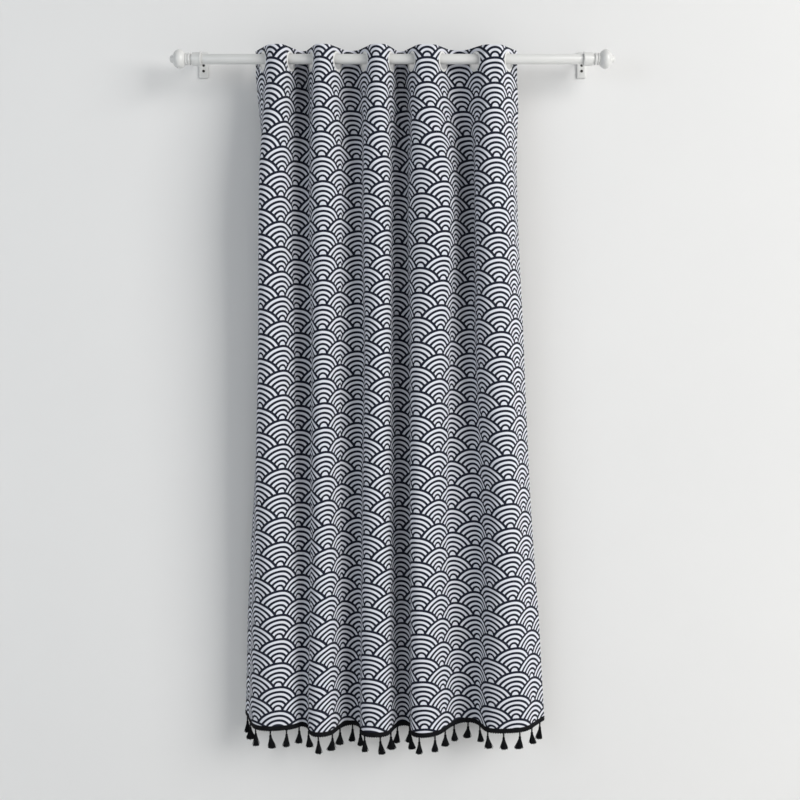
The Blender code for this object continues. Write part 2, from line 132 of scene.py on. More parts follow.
def rounded(piece, width):
    """Round a piece's sharp edges, and shade the rest smooth."""
    apply_step(piece, "BEVEL", width=width, segments=2, limit_method="ANGLE", angle_limit=SMOOTH_ANGLE)
    bpy.ops.object.shade_smooth_by_angle(angle=SMOOTH_ANGLE)


def coated(piece, material):
    """Give a piece one material and no other."""
    piece.data.materials.clear()
    piece.data.materials.append(material)


def turned(name, profile, sides, ring=False):
    """Turn a profile of (along, radius) steps about the X axis, as on a lathe.

    A circle is extruded from step to step. A ring's profile comes back to its start, and any
    other piece is closed with a face at each end.
    """
    along, radius = profile[0]
    bpy.ops.mesh.primitive_circle_add(
        vertices=sides,
        radius=radius,
        location=(along, 0.0, 0.0),
        rotation=(0.0, math.pi / 2, 0.0),
    )
    piece = added(name)
    start_edit(piece, "EDGE")
    bpy.ops.mesh.select_all(action="SELECT")
    steps = list(profile[1:])
    if ring:
        steps.append(profile[0])
    for next_along, next_radius in steps:
        share = next_radius / radius
        bpy.ops.mesh.extrude_region_move(TRANSFORM_OT_translate={"value": (next_along - along, 0.0, 0.0)})
        bpy.ops.transform.resize(value=(1.0, share, share), center_override=(next_along, 0.0, 0.0))
        along = next_along
        radius = next_radius
    if not ring:
        bpy.ops.mesh.select_all(action="SELECT")
        bpy.ops.mesh.fill_holes(sides=0)
    end_edit()
    return piece


def moved(piece, offset, turn=0.0):
    """Turn a piece about the vertical through the origin, then move it, in its mesh."""
    piece.rotation_euler = (0.0, 0.0, turn)
    piece.location = offset
    alone(piece)
    bpy.ops.object.transform_apply(location=True, rotation=True, scale=True)
    return piece


def bar(name, start, end, radius, sides):
    """A round bar between two points."""
    place = (end - start).to_track_quat("Z", "Y").to_euler()
    bpy.ops.mesh.primitive_cylinder_add(
        vertices=sides,
        radius=radius,
        depth=(end - start).length,
        location=(start + end) / 2,
        rotation=place,
    )
    return added(name)


def new_group(name, inputs, outputs):
    """An empty shader node group with named sockets; a socket is (name, kind, default)."""
    group = bpy.data.node_groups.new(name, "ShaderNodeTree")
    for label, kind, default in inputs:
        socket = group.interface.new_socket(label, in_out="INPUT", socket_type=f"NodeSocket{kind}")
        if default is not None:
            socket.default_value = default
    for label, kind in outputs:
        group.interface.new_socket(label, in_out="OUTPUT", socket_type=f"NodeSocket{kind}")
    return group, group.nodes.new("NodeGroupInput").outputs, group.nodes.new("NodeGroupOutput").inputs


def feed(tree, target, value):
    """Link a socket to an input, or set the input's own value."""
    if isinstance(value, bpy.types.NodeSocket):
        tree.links.new(value, target)
    else:
        target.default_value = value


def node(tree, kind, inputs=None, **settings):
    """Add a node, set its properties and feed its inputs by name."""
    made = tree.nodes.new(f"ShaderNode{kind}")
    for name, value in settings.items():
        setattr(made, name, value)
    for name, value in (inputs or {}).items():
        feed(tree, made.inputs[name], value)
    return made


def maths(tree, operation, first, second=0.0, third=0.0):
    """One step of arithmetic on sockets or numbers."""
    made = tree.nodes.new("ShaderNodeMath")
    made.operation = operation
    for target, value in zip(made.inputs, (first, second, third)):
        feed(tree, target, value)
    return made.outputs[0]


def blended(tree, factor, first, second):
    """Mix two colours."""
    made = tree.nodes.new("ShaderNodeMix")
    made.data_type = "RGBA"
    feed(tree, made.inputs[0], factor)
    feed(tree, made.inputs[6], first)
    feed(tree, made.inputs[7], second)
    return made.outputs[2]


def placed_group(tree, group, **inputs):
    """Place a node group in a material with its own values."""
    made = tree.nodes.new("ShaderNodeGroup")
    made.node_tree = group
    for name, value in inputs.items():
        feed(tree, made.inputs[name.replace("_", " ")], value)
    return made.outputs


def new_material(name, roughness):
    """A material with one Principled shader; returns it with its tree and shader."""
    material = bpy.data.materials.new(name)
    material.use_nodes = True
    shader = material.node_tree.nodes["Principled BSDF"]
    shader.inputs["Roughness"].default_value = roughness
    return material, material.node_tree, shader


def bumped(tree, shader, height, strength, distance):
    """Raise and lower a material's surface by a height."""
    bump = node(tree, "Bump", {"Height": height, "Strength": strength, "Distance": distance})
    feed(tree, shader.inputs["Normal"], bump.outputs["Normal"])


def build_grain():
    """Fine surface grain: a height to bump with and a slow drift of tone."""
    group, given, wanted = new_group(
        "surface_grain",
        (("Position", "Vector", None), ("Grain", "Float", 900.0), ("Drift", "Float", 9.0)),
        (("Height", "Float"), ("Tone", "Float")),
    )
    fine = node(group, "TexNoise", {"Vector": given["Position"], "Scale": given["Grain"], "Detail": 2.0})
    slow = node(group, "TexNoise", {"Vector": given["Position"], "Scale": given["Drift"], "Detail": 4.0})
    feed(group, wanted["Height"], fine.outputs["Fac"])
    feed(group, wanted["Tone"], slow.outputs["Fac"])
    return group


def build_dust():
    """Thin dust on surfaces that face up, broken by noise: a mask from 0 to 1."""
    group, given, wanted = new_group(
        "settled_dust",
        (("Position", "Vector", None), ("Amount", "Float", 0.3)),
        (("Mask", "Float"),),
    )
    facing = node(group, "SeparateXYZ", {"Vector": node(group, "NewGeometry").outputs["Normal"]})
    upward = node(group, "MapRange", {"Value": facing.outputs["Z"], "From Min": 0.45, "From Max": 1.0})
    patches = node(group, "TexNoise", {"Vector": given["Position"], "Scale": 160.0, "Detail": 5.0})
    mask = maths(group, "MULTIPLY", upward.outputs["Result"], patches.outputs["Fac"])
    feed(group, wanted["Mask"], maths(group, "MULTIPLY", mask, given["Amount"]))
    return group


surface_grain = build_grain()
settled_dust = build_dust()


def make_white_paint():
    """Stoved white paint: a faint orange peel, a slight drift of tone and a little dust on top."""
    paint = (0.73, 0.732, 0.718, 1.0)
    paint_in_shade = (0.66, 0.655, 0.635, 1.0)
    dust = (0.50, 0.48, 0.45, 1.0)
    material, tree, shader = new_material("white_paint", 0.33)
    place = node(tree, "TexCoord").outputs["Object"]
    grain = placed_group(tree, surface_grain, Position=place, Grain=1100.0, Drift=14.0)
    dusty = placed_group(tree, settled_dust, Position=place, Amount=0.22)
    colour = blended(tree, maths(tree, "MULTIPLY", grain["Tone"], 0.35), paint, paint_in_shade)
    feed(tree, shader.inputs["Base Color"], blended(tree, dusty["Mask"], colour, dust))
    gloss = node(tree, "MapRange", {"Value": grain["Tone"], "To Min": 0.27, "To Max": 0.42})
    feed(tree, shader.inputs["Roughness"], gloss.outputs["Result"])
    bumped(tree, shader, grain["Height"], strength=0.12, distance=0.0002)
    shader.inputs["Coat Weight"].default_value = 0.25
    shader.inputs["Coat Roughness"].default_value = 0.18
    return material


white_paint = make_white_paint()


def make_bracket(side, name):
    """Plate, arm and sleeve, joined into one welded piece."""
    x = side * BRACKET_X
    height = plate_high.z - plate_low.z
    middle = (plate_high.z + plate_low.z) / 2
    bpy.ops.mesh.primitive_cube_add(
        size=1.0,
        location=(x, -PLATE_THICKNESS / 2, middle),
        scale=(PLATE_WIDTH, PLATE_THICKNESS, height),
    )
    bracket = added(f"{name}_piece")
    shape = start_edit(bracket, "EDGE")
    for edge in shape.edges:
        if abs(edge.verts[0].co.y - edge.verts[1].co.y) > MERGE:
            edge.select_set(True)
    bpy.ops.mesh.bevel(offset=PLATE_CORNER, segments=5, affect="EDGES")
    end_edit()
    for z in SCREW_HEIGHTS.values():
        front = Vector((x, -2 * PLATE_THICKNESS, z))
        back = Vector((x, PLATE_THICKNESS, z))
        boolean(bracket, bar("hole", front, back, SCREW_HOLE_RADIUS, 24), "DIFFERENCE")

    bore = ROD_RADIUS + SLEEVE_FIT
    outer = bore + SLEEVE_WALL
    half = SLEEVE_LENGTH / 2
    profile = (
        (-half, bore),
        (-half, outer),
        (half - BEAD_LENGTH, outer),
        (half - BEAD_LENGTH, outer + BEAD_HEIGHT),
        (half, outer + BEAD_HEIGHT),
        (half, bore),
    )
    sleeve = turned("sleeve", [(-side * along, radius) for along, radius in profile], 64, ring=True)
    boolean(bracket, moved(sleeve, (x, ROD_Y, 0.0)), "UNION")

    start = Vector((x, ROD_Y, 0.0))
    end = Vector((x, -PLATE_THICKNESS / 2, ARM_HEIGHT_AT_WALL))
    along = (end - start).normalized()
    arm = bar("arm", start + along * (bore + SLEEVE_WALL / 2), end, ARM_RADIUS, 32)
    boolean(bracket, arm, "UNION")
    collar_start = end - along * (PLATE_THICKNESS / 2 + WELD_LENGTH)
    boolean(bracket, bar("weld", collar_start, end, WELD_RADIUS, 32), "UNION")
    rounded(bracket, PLATE_EDGE)
    coated(bracket, white_paint)
    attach(bracket, "root")
    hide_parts(name)


for side, side_name in ((-1, "left"), (1, "right")):
    make_bracket(side, f"bracket_{side_name}")

# Wall screws
# Four dark pan-head steel screws with a cross recess, driven through the holes of the wall plates.

SCREW_HEAD_RADIUS = 0.0035
SCREW_HEAD_HEIGHT = 0.0022
SCREW_SHANK_RADIUS = 0.0019
RECESS_WIDTH = 0.0010
RECESS_LENGTH = 0.0040
RECESS_DEPTH = 0.0012


def make_dark_steel():
    """Blackened steel, a little brighter where it is rubbed."""
    material, tree, shader = new_material("dark_steel", 0.42)
    place = node(tree, "TexCoord").outputs["Object"]
    grain = placed_group(tree, surface_grain, Position=place, Grain=2600.0, Drift=420.0)
    colour = blended(tree, grain["Tone"], (0.030, 0.028, 0.026, 1.0), (0.095, 0.090, 0.085, 1.0))
    feed(tree, shader.inputs["Base Color"], colour)
    bumped(tree, shader, grain["Height"], strength=0.2, distance=0.0001)
    shader.inputs["Metallic"].default_value = 0.85
    return material


dark_steel = make_dark_steel()


def copied(piece, name):
    """A copy of a piece, with a mesh of its own."""
    copy = piece.copy()
    copy.data = piece.data.copy()
    copy.name = name
    bpy.context.collection.objects.link(copy)
    return copy


def make_screw():
    """One screw, its head's top at the origin and its shank along +X."""
    profile = (
        (0.0, SCREW_HEAD_RADIUS * 0.45),
        (SCREW_HEAD_HEIGHT * 0.12, SCREW_HEAD_RADIUS * 0.72),
        (SCREW_HEAD_HEIGHT * 0.35, SCREW_HEAD_RADIUS * 0.92),
        (SCREW_HEAD_HEIGHT * 0.65, SCREW_HEAD_RADIUS),
        (SCREW_HEAD_HEIGHT, SCREW_HEAD_RADIUS),
        (SCREW_HEAD_HEIGHT, SCREW_SHANK_RADIUS),
        (SCREW_HEAD_HEIGHT + PLATE_THICKNESS, SCREW_SHANK_RADIUS),
    )
    screw = turned("screw", profile, 32)
    for size in ((RECESS_LENGTH, RECESS_WIDTH), (RECESS_WIDTH, RECESS_LENGTH)):
        bpy.ops.mesh.primitive_cube_add(size=1.0, scale=(2 * RECESS_DEPTH, *size))
        boolean(screw, added("slot"), "DIFFERENCE")
    bpy.ops.object.shade_smooth_by_angle(angle=SMOOTH_ANGLE)
    coated(screw, dark_steel)
    return moved(screw, (0.0, 0.0, 0.0), turn=math.pi / 2)


first_screw = make_screw()
for side, side_name in ((-1, "left"), (1, "right")):
    for level, z in SCREW_HEIGHTS.items():
        name = f"wall_screw_{side_name}_{level}"
        screw = copied(first_screw, f"{name}_piece")
        moved(screw, (side * BRACKET_X, -PLATE_THICKNESS - SCREW_HEAD_HEIGHT, z))
        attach(screw, "root")
        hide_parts(name)
bpy.data.objects.remove(first_screw, do_unlink=True)

# Curtain rod
# One straight round steel tube, painted white like the brackets, with its ends turned in slightly
# where the ball ends are pushed in.

ROD_EDGE = 0.0009


def make_rod():
    """The tube from end to end."""
    profile = (
        (-ROD_END, ROD_RADIUS - ROD_EDGE),
        (-ROD_END + ROD_EDGE / 3, ROD_RADIUS - ROD_EDGE / 3),
        (-ROD_END + ROD_EDGE, ROD_RADIUS),
        (ROD_END - ROD_EDGE, ROD_RADIUS),
        (ROD_END - ROD_EDGE / 3, ROD_RADIUS - ROD_EDGE / 3),
        (ROD_END, ROD_RADIUS - ROD_EDGE),
    )
    rod = turned("curtain_rod_piece", profile, 96)
    moved(rod, (0.0, ROD_Y, 0.0))
    bpy.ops.object.shade_smooth_by_angle(angle=SMOOTH_ANGLE)
    coated(rod, white_paint)
    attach(rod, "root")
    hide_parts("curtain_rod")
    return rod


rod_piece = make_rod()

# Finials
# Two turned ball ends, painted white like the rod and pushed into the tube. Each has a neck ring
# against the tube, a groove, a shoulder, a slightly flattened ball and a short nub.

FINIAL_GAP = 0.0003
FinialStep = namedtuple("FinialStep", "along radius")
FINIAL_NECK = (
    FinialStep(0.0000, 0.0146),
    FinialStep(0.0005, 0.0154),
    FinialStep(0.0013, 0.0158),
    FinialStep(0.0047, 0.0158),
    FinialStep(0.0055, 0.0153),
    FinialStep(0.0060, 0.0140),
    FinialStep(0.0064, 0.0132),
    FinialStep(0.0078, 0.0132),
    FinialStep(0.0084, 0.0144),
    FinialStep(0.0091, 0.0155),
    FinialStep(0.0100, 0.0158),
    FinialStep(0.0112, 0.0157),
    FinialStep(0.0122, 0.0150),
    FinialStep(0.0131, 0.0140),
)
BALL_START = 0.0140
BALL_LENGTH = 0.0300
BALL_RADIUS = 0.0246
BALL_OPENS_AT = math.radians(38)
BALL_CLOSES_AT = math.radians(152)
BALL_STEPS = 28
NUB_LENGTH = 0.0090
NUB_RADIUS = 0.0104
NUB_END_RADIUS = 0.0085
NUB_TAPER = 0.0006
NUB_FILLET = 0.12
NUB_ROUNDING = 0.45
NUB_FLAT = 0.25
NUB_STEPS = 8


def finial_profile():
    """Neck, then the ball as part of an ellipse, then the nub with its rounded end."""
    steps = list(FINIAL_NECK)
    opening = math.cos(BALL_OPENS_AT)
    closing = math.cos(BALL_CLOSES_AT)
    for k in range(BALL_STEPS + 1):
        angle = BALL_OPENS_AT + (BALL_CLOSES_AT - BALL_OPENS_AT) * k / BALL_STEPS
        along = BALL_START + BALL_LENGTH * (opening - math.cos(angle)) / (opening - closing)
        steps.append((along, BALL_RADIUS * math.sin(angle)))
    end = BALL_START + BALL_LENGTH
    round_end = NUB_LENGTH - NUB_END_RADIUS * NUB_ROUNDING
    steps.append((end + NUB_LENGTH * NUB_FILLET, NUB_RADIUS))
    steps.append((end + round_end, NUB_END_RADIUS + NUB_TAPER))
    for k in range(1, NUB_STEPS):
        angle = math.pi / 2 * k / NUB_STEPS
        along = end + round_end + (NUB_LENGTH - round_end) * math.sin(angle)
        radius = NUB_END_RADIUS * (NUB_FLAT + (1 - NUB_FLAT) * math.cos(angle))
        steps.append((along, radius + NUB_TAPER * (1 - math.sin(angle))))
    return steps


for side, side_name in ((-1, "left"), (1, "right")):
    finial = turned(f"finial_{side_name}_piece", finial_profile(), 72)
    turn = math.pi if side < 0 else 0.0
    moved(finial, (side * (ROD_END + FINIAL_GAP), ROD_Y, 0.0), turn)
    bpy.ops.object.shade_smooth_by_angle(angle=SMOOTH_ANGLE)
    coated(finial, white_paint)
    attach(finial, "root")
    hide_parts(f"finial_{side_name}")

# Curtain panel
# One length of plain-woven cotton canvas, printed in dark ink with rows of overlapping scales and
# hemmed all round. It hangs from ten eyelets, so it crosses the rod's plane ten times and falls in
# nine half folds. Each keeps its own length of cloth at every height.

PANEL_WIDTH = 1.240
CLOTH_THICKNESS = 0.0009
HEADING_TOP = 0.030
HEM = -1.740
PANEL_LENGTH = HEADING_TOP - HEM
EYELET_COUNT = 10
SIDE_MARGIN = 0.060
EYELET_PITCH = (PANEL_WIDTH - 2 * SIDE_MARGIN) / (EYELET_COUNT - 1)
EYELET_Z = -0.0062
EYELET_HOLE_RADIUS = 0.0220
HOLE_EDGE_REACH = 1.5 * EYELET_HOLE_RADIUS
EYELET_CENTRES = [SIDE_MARGIN + k * EYELET_PITCH for k in range(EYELET_COUNT)]
FLAT = 0.029
FLAT_FADES_OVER = 0.25
LEAST_TURN = math.radians(62)
LEAN_TURN = math.radians(9)
HANG_TILT = 0.085
BOW_LOW = -0.9
BOW_HIGH = 1.3
STEEPEST_TURN = 2.4
FOLD_STEPS = 120
SOLVER_ROUNDS = 26
MARGIN_POINTS = 3
FACING_STEP = 0.002
HEADING_ROWS = 20
HEADING_DEPTH = 0.075
FALL_ROWS = 98
CLOTH_COLUMNS = 380
SAME_HEIGHT = 1e-6

Levels = namedtuple("Levels", "head upper middle lower hem")
LEVELS = Levels(head=EYELET_Z - FLAT, upper=-0.267, middle=-0.723, lower=-1.236, hem=HEM)

# Each place where the cloth crosses the rod's plane, left to right: its X at the five levels, how
# far across the cloth it has moved from its eyelet below the heading and at the hem, how far it
# lies behind the rod's plane at the hem, and how far the hem is drawn up there
Crossing = namedtuple("Crossing", "head upper middle lower hem slide_below slide_hem back lift")
CROSSINGS = (
    Crossing(-0.333, -0.340, -0.348, -0.361, -0.373, 0.000, 0.014, 0.010, 0.012),
    Crossing(-0.262, -0.263, -0.262, -0.256, -0.247, 0.026, 0.050, 0.006, 0.013),
    Crossing(-0.209, -0.214, -0.209, -0.211, -0.221, -0.016, -0.034, -0.008, 0.000),
    Crossing(-0.142, -0.135, -0.138, -0.144, -0.148, -0.006, -0.050, 0.000, -0.003),
    Crossing(-0.072, -0.077, -0.073, -0.078, -0.084, -0.034, -0.053, 0.000, -0.003),
    Crossing(-0.003, -0.004, -0.003, -0.003, -0.003, -0.036, -0.060, 0.000, -0.005),
    Crossing(0.050, 0.043, 0.045, 0.048, 0.047, -0.062, -0.067, 0.000, 0.000),
    Crossing(0.130, 0.158, 0.151, 0.137, 0.140, -0.008, -0.052, 0.000, 0.002),
    Crossing(0.213, 0.213, 0.220, 0.238, 0.236, -0.024, -0.036, 0.006, 0.005),
    Crossing(0.298, 0.308, 0.323, 0.346, 0.372, 0.013, 0.005, 0.006, 0.008),
)


def mean(values):
    """Trapezium mean of evenly spaced samples."""
    return float(values[1:].sum() + values[:-1].sum()) / 2 / (len(values) - 1)


def at_height(levels, values, z):
    """Read a smooth curve through values at falling heights; it is steady above the first."""
    depths = -np.array(levels)
    slopes = np.gradient(values, depths)
    slopes[0] = 0.0
    depth = min(max(-z, depths[0]), depths[-1])
    k = min(int(np.searchsorted(depths, depth, side="right")) - 1, len(depths) - 2)
    gap = depths[k + 1] - depths[k]
    t = (depth - depths[k]) / gap
    fade = 2 * t ** 3 - 3 * t ** 2 + 1
    leave = (t ** 3 - 2 * t ** 2 + t) * gap * slopes[k]
    arrive = (t ** 3 - t ** 2) * gap * slopes[k + 1]
    return float(fade * values[k] + (1 - fade) * values[k + 1] + leave + arrive)


def half_fold(bow):
    """Share of its end angle that the cloth keeps, from a crossing to the crest."""
    x = np.linspace(0.0, math.pi / 2, FOLD_STEPS + 1)
    return np.cos(x) * (1 - bow * np.sin(x) ** 2)


def natural_angle(length, span, flat):
    """Angle at which a fold of this length of cloth meets the rod's plane when it is span wide."""
    low = 0.0
    high = STEEPEST_TURN
    share = half_fold(0.0)
    for _ in range(SOLVER_ROUNDS):
        angle = (low + high) / 2
        reach = 2 * flat * math.cos(angle) + (length - 2 * flat) * mean(np.cos(angle * share))
        if reach > span:
            low = angle
        else:
            high = angle
    return angle


def fold_angles(length, span, lean, first, last, flat):
    """Angle of the cloth at even steps along one fold, between its two end angles.

    The crest is broadened or sharpened until the ends lie span apart, and moved along the cloth
    until the far end lies lean further out.
    """
    half = length / 2 - flat
    low = BOW_LOW
    high = BOW_HIGH
    for _ in range(SOLVER_ROUNDS):
        bow = (low + high) / 2
        share = half_fold(bow)
        rise = mean(np.sin(first * share))
        fall = mean(np.sin(last * share))
        shift = (lean - flat * (math.sin(first) - math.sin(last)) - half * (rise - fall)) / (rise + fall)
        shift = min(max(shift, -half / 2), half / 2)
        reach = flat * (math.cos(first) + math.cos(last))
        reach += (half + shift) * mean(np.cos(first * share))
        reach += (half - shift) * mean(np.cos(last * share))
        if reach < span:
            low = bow
        else:
            high = bow
    crest = length / 2 + shift
    along = np.linspace(0.0, length, 2 * FOLD_STEPS + 1)
    up = np.clip((along - flat) / (crest - flat), 0, 1) * math.pi / 2
    down = np.clip((length - flat - along) / (length - flat - crest), 0, 1) * math.pi / 2
    rising = first * np.cos(up) * (1 - bow * np.sin(up) ** 2)
    falling = -last * np.cos(down) * (1 - bow * np.sin(down) ** 2)
    return np.where(along < crest, rising, falling)


def slide_at(row, z):
    """How far across the cloth a crossing has moved from its eyelet."""
    levels = (LEVELS.head, LEVELS.upper, LEVELS.middle, LEVELS.hem)
    return at_height(levels, (0.0, row.slide_below, row.slide_below, row.slide_hem), z)


def crossing_angles(natural, loose):
    """Angle of the cloth at each crossing: between its two folds' own, with the lean added."""
    angles = [(before + after) / 2 for before, after in zip(natural, natural[1:])]
    angles = [natural[0]] + angles + [natural[-1]]
    return [max(angle, LEAST_TURN) + LEAN_TURN * loose * (-1) ** k for k, angle in enumerate(angles)]


def plan_curve(z):
    """The cloth seen from above at one height: distance across the cloth, X and Y."""
    xs = [at_height(LEVELS, row[:len(LEVELS)], z) for row in CROSSINGS]
    back_levels = (LEVELS.head, LEVELS.middle, LEVELS.hem)
    ys = [at_height(back_levels, (0.0, 0.0, row.back), z) for row in CROSSINGS]
    cloth = [centre + slide_at(row, z) for centre, row in zip(EYELET_CENTRES, CROSSINGS)]
    loose = min(max((LEVELS.head - z) / FLAT_FADES_OVER, 0.0), 1.0)
    flat = FLAT * (1 - loose)
    natural = [natural_angle(length, span, flat) for length, span in zip(np.diff(cloth), np.diff(xs))]
    angles = crossing_angles(natural, loose)

    margin = np.linspace(1.0, 0.0, MARGIN_POINTS)
    first_margin = margin * cloth[0]
    last_margin = margin[::-1] * (PANEL_WIDTH - cloth[-1])
    across = [cloth[0] - first_margin]
    plan_x = [xs[0] - first_margin * math.cos(angles[0])]
    plan_y = [ys[0] + first_margin * math.sin(angles[0])]
    share = np.linspace(0.0, 1.0, 2 * FOLD_STEPS + 1)
    for k in range(EYELET_COUNT - 1):
        side = -1 if k % 2 == 0 else 1
        length = cloth[k + 1] - cloth[k]
        span = xs[k + 1] - xs[k]
        lean = side * (ys[k + 1] - ys[k])
        step = length / (2 * FOLD_STEPS)
        turn = fold_angles(length, span, lean, angles[k], angles[k + 1], flat)
        run = np.concatenate(([0.0], np.cumsum(np.cos(turn[1:]) + np.cos(turn[:-1])) * step / 2))
        out = np.concatenate(([0.0], np.cumsum(np.sin(turn[1:]) + np.sin(turn[:-1])) * step / 2))
        across.append(cloth[k] + share * length)
        plan_x.append(xs[k] + run + share * (span - run[-1]))
        plan_y.append(ys[k] + side * (out + share * (lean - out[-1])))
    across.append(cloth[-1] + last_margin)
    plan_x.append(xs[-1] + last_margin * math.cos(angles[-1]))
    plan_y.append(ys[-1] + last_margin * math.sin(angles[-1]))
    return np.concatenate(across), np.concatenate(plan_x), np.concatenate(plan_y) + ROD_Y


def hang(across, z):
    """Where points across the cloth lie when they hang at one height, and the way they face."""
    distance, plan_x, plan_y = plan_curve(z)
    x = np.interp(across, distance, plan_x)
    y = np.interp(across, distance, plan_y)
    down = max(LEVELS.head - z, 0.0) / (LEVELS.head - LEVELS.hem)
    lift = np.interp(across, EYELET_CENTRES, [row.lift for row in CROSSINGS])
    height = z + HANG_TILT * (y - ROD_Y) + lift * down
    before = np.clip(across - FACING_STEP, 0.0, PANEL_WIDTH)
    after = np.clip(across + FACING_STEP, 0.0, PANEL_WIDTH)
    run_x = np.interp(after, distance, plan_x) - np.interp(before, distance, plan_x)
    run_y = np.interp(after, distance, plan_y) - np.interp(before, distance, plan_y)
    length = np.hypot(run_x, run_y)
    return x, y, height, run_y / length, -run_x / length


# Soft creases placed one by one: distance across the cloth, top and bottom height, half width, how
# far they stand out towards the room, and how far they drift across on the way down
Crease = namedtuple("Crease", "across top bottom width depth drift")
CREASES = (
    Crease(0.118, -0.05, -0.95, 0.011, 0.0018, 0.010),
    Crease(0.210, -0.05, -1.70, 0.009, 0.0036, 0.012),
    Crease(0.296, -0.10, -1.72, 0.009, 0.0024, -0.006),
    Crease(0.424, -0.05, -1.60, 0.009, 0.0042, -0.010),
    Crease(0.562, -0.05, -0.80, 0.011, -0.0018, 0.008),
    Crease(0.640, -0.08, -1.20, 0.010, 0.0016, -0.008),
    Crease(0.770, -0.06, -1.00, 0.012, -0.0014, 0.010),
    Crease(0.869, -0.02, -0.70, 0.009, 0.0026, 0.020),
    Crease(0.912, -0.40, -1.70, 0.010, 0.0026, -0.014),
    Crease(1.030, -0.06, -1.30, 0.011, 0.0016, 0.006),
    Crease(1.142, -0.03, -1.10, 0.010, 0.0022, 0.012),
)

# Slight waves all over the cloth. Each runs across it at so many radians to the metre from its
# start, sways from side to side on the way down, and comes and goes on the way down
UNEVENNESS = 0.0007
Wave = namedtuple("Wave", "across start sway sway_down sway_start down down_start")
WAVES = (
    Wave(31, 0.0, 2.1, 5.3, 0.0, 7.1, 0.4),
    Wave(53, -1.4, 1.7, 3.7, 1.0, 4.3, 0.0),
)

# How far the print runs out of square with the cloth at the hem, at places across the cloth; it
# grows from nothing at the top
PrintDrop = namedtuple("PrintDrop", "across drop")
PRINT_DROPS = (
    PrintDrop(0.000, 0.034),
    PrintDrop(0.240, 0.031),
    PrintDrop(0.360, -0.002),
    PrintDrop(0.610, -0.008),
    PrintDrop(0.870, 0.002),
    PrintDrop(1.060, 0.016),
    PrintDrop(1.240, 0.018),
)
PRINT_DROP_GROWTH = 0.8


def crease_height(across, z):
    """How far the cloth stands out of its plain folds at one height."""
    rise = np.zeros_like(across)
    for wave in WAVES:
        sway = wave.sway * math.sin(z * wave.sway_down + wave.sway_start)
        strength = UNEVENNESS * math.sin(z * wave.down + wave.down_start)
        rise = rise + strength * np.sin(across * wave.across + wave.start + sway)
    for crease in CREASES:
        share = (crease.top - z) / (crease.top - crease.bottom)
        if 0 < share < 1:
            middle = crease.across + crease.drift * share
            strength = math.sin(math.pi * share) ** 0.7
            rise = rise + crease.depth * strength * np.exp(-((across - middle) / crease.width) ** 2)
    return rise


def make_flat_cloth():
    """The cloth as it is cut: a grid one unit square with its own UV map, and ten round holes."""
    rows = HEADING_ROWS + FALL_ROWS
    bpy.ops.mesh.primitive_grid_add(
        x_subdivisions=CLOTH_COLUMNS,
        y_subdivisions=rows,
        size=1.0,
        location=(0.5, 0.5, 0.0),
    )
    cloth = added("curtain_cloth")
    mesh = cloth.data
    flat = np.zeros(len(mesh.vertices) * 3)
    mesh.vertices.foreach_get("co", flat)
    flat = flat.reshape(-1, 3)
    row_number = np.rint((1.0 - flat[:, 1]) * rows)
    in_heading = row_number <= HEADING_ROWS
    fall_step = (PANEL_LENGTH - HEADING_DEPTH) / FALL_ROWS
    down = np.where(
        in_heading,
        row_number * HEADING_DEPTH / HEADING_ROWS,
        HEADING_DEPTH + (row_number - HEADING_ROWS) * fall_step,
    )
    flat[:, 0] *= PANEL_WIDTH
    flat[:, 1] = -down
    mesh.vertices.foreach_set("co", flat.ravel())
    uv = mesh.uv_layers.active
    drop_places, drops = zip(*PRINT_DROPS)
    for loop in mesh.loops:
        place = mesh.vertices[loop.vertex_index].co
        drop = float(np.interp(place.x, drop_places, drops))
        drop *= (-place.y / PANEL_LENGTH) ** PRINT_DROP_GROWTH
        uv.data[loop.index].uv = (place.x / PANEL_WIDTH, 1 + (place.y + drop) / PANEL_LENGTH)

    shape = start_edit(cloth, "FACE")
    eyelet_down = HEADING_TOP - EYELET_Z
    for face in shape.faces:
        middle = face.calc_center_median()
        nearest = min(EYELET_CENTRES, key=lambda centre: abs(centre - middle.x))
        if math.hypot(middle.x - nearest, middle.y + eyelet_down) < EYELET_HOLE_RADIUS:
            face.select_set(True)
    bpy.ops.mesh.delete(type="FACE")
    shape = bmesh.from_edit_mesh(mesh)
    for vert in shape.verts:
        nearest = min(EYELET_CENTRES, key=lambda centre: abs(centre - vert.co.x))
        offset = Vector((vert.co.x - nearest, vert.co.y + eyelet_down, 0.0))
        if vert.is_boundary and offset.length < HOLE_EDGE_REACH and vert.co.y < -MERGE:
            offset = offset.normalized() * EYELET_HOLE_RADIUS
            vert.co = Vector((nearest + offset.x, offset.y - eyelet_down, 0.0))
    bmesh.update_edit_mesh(mesh)
    bpy.ops.object.mode_set(mode="OBJECT")
    return cloth


def hang_cloth(cloth):
    """Move each point of the flat cloth to its place in the folds."""
    mesh = cloth.data
    flat = np.zeros(len(mesh.vertices) * 3)
    mesh.vertices.foreach_get("co", flat)
    flat = flat.reshape(-1, 3)
    heights = HEADING_TOP + flat[:, 1]
    hung = np.zeros_like(flat)
    for z in np.unique(np.round(heights, 6)):
        row = np.abs(heights - z) < SAME_HEIGHT
        across = flat[row, 0]
        x, y, height, face_x, face_y = hang(across, float(z))
        rise = crease_height(across, float(z))
        hung[row] = np.column_stack((x + rise * face_x, y + rise * face_y, height))
    mesh.vertices.foreach_set("co", hung.ravel())
    mesh.update()


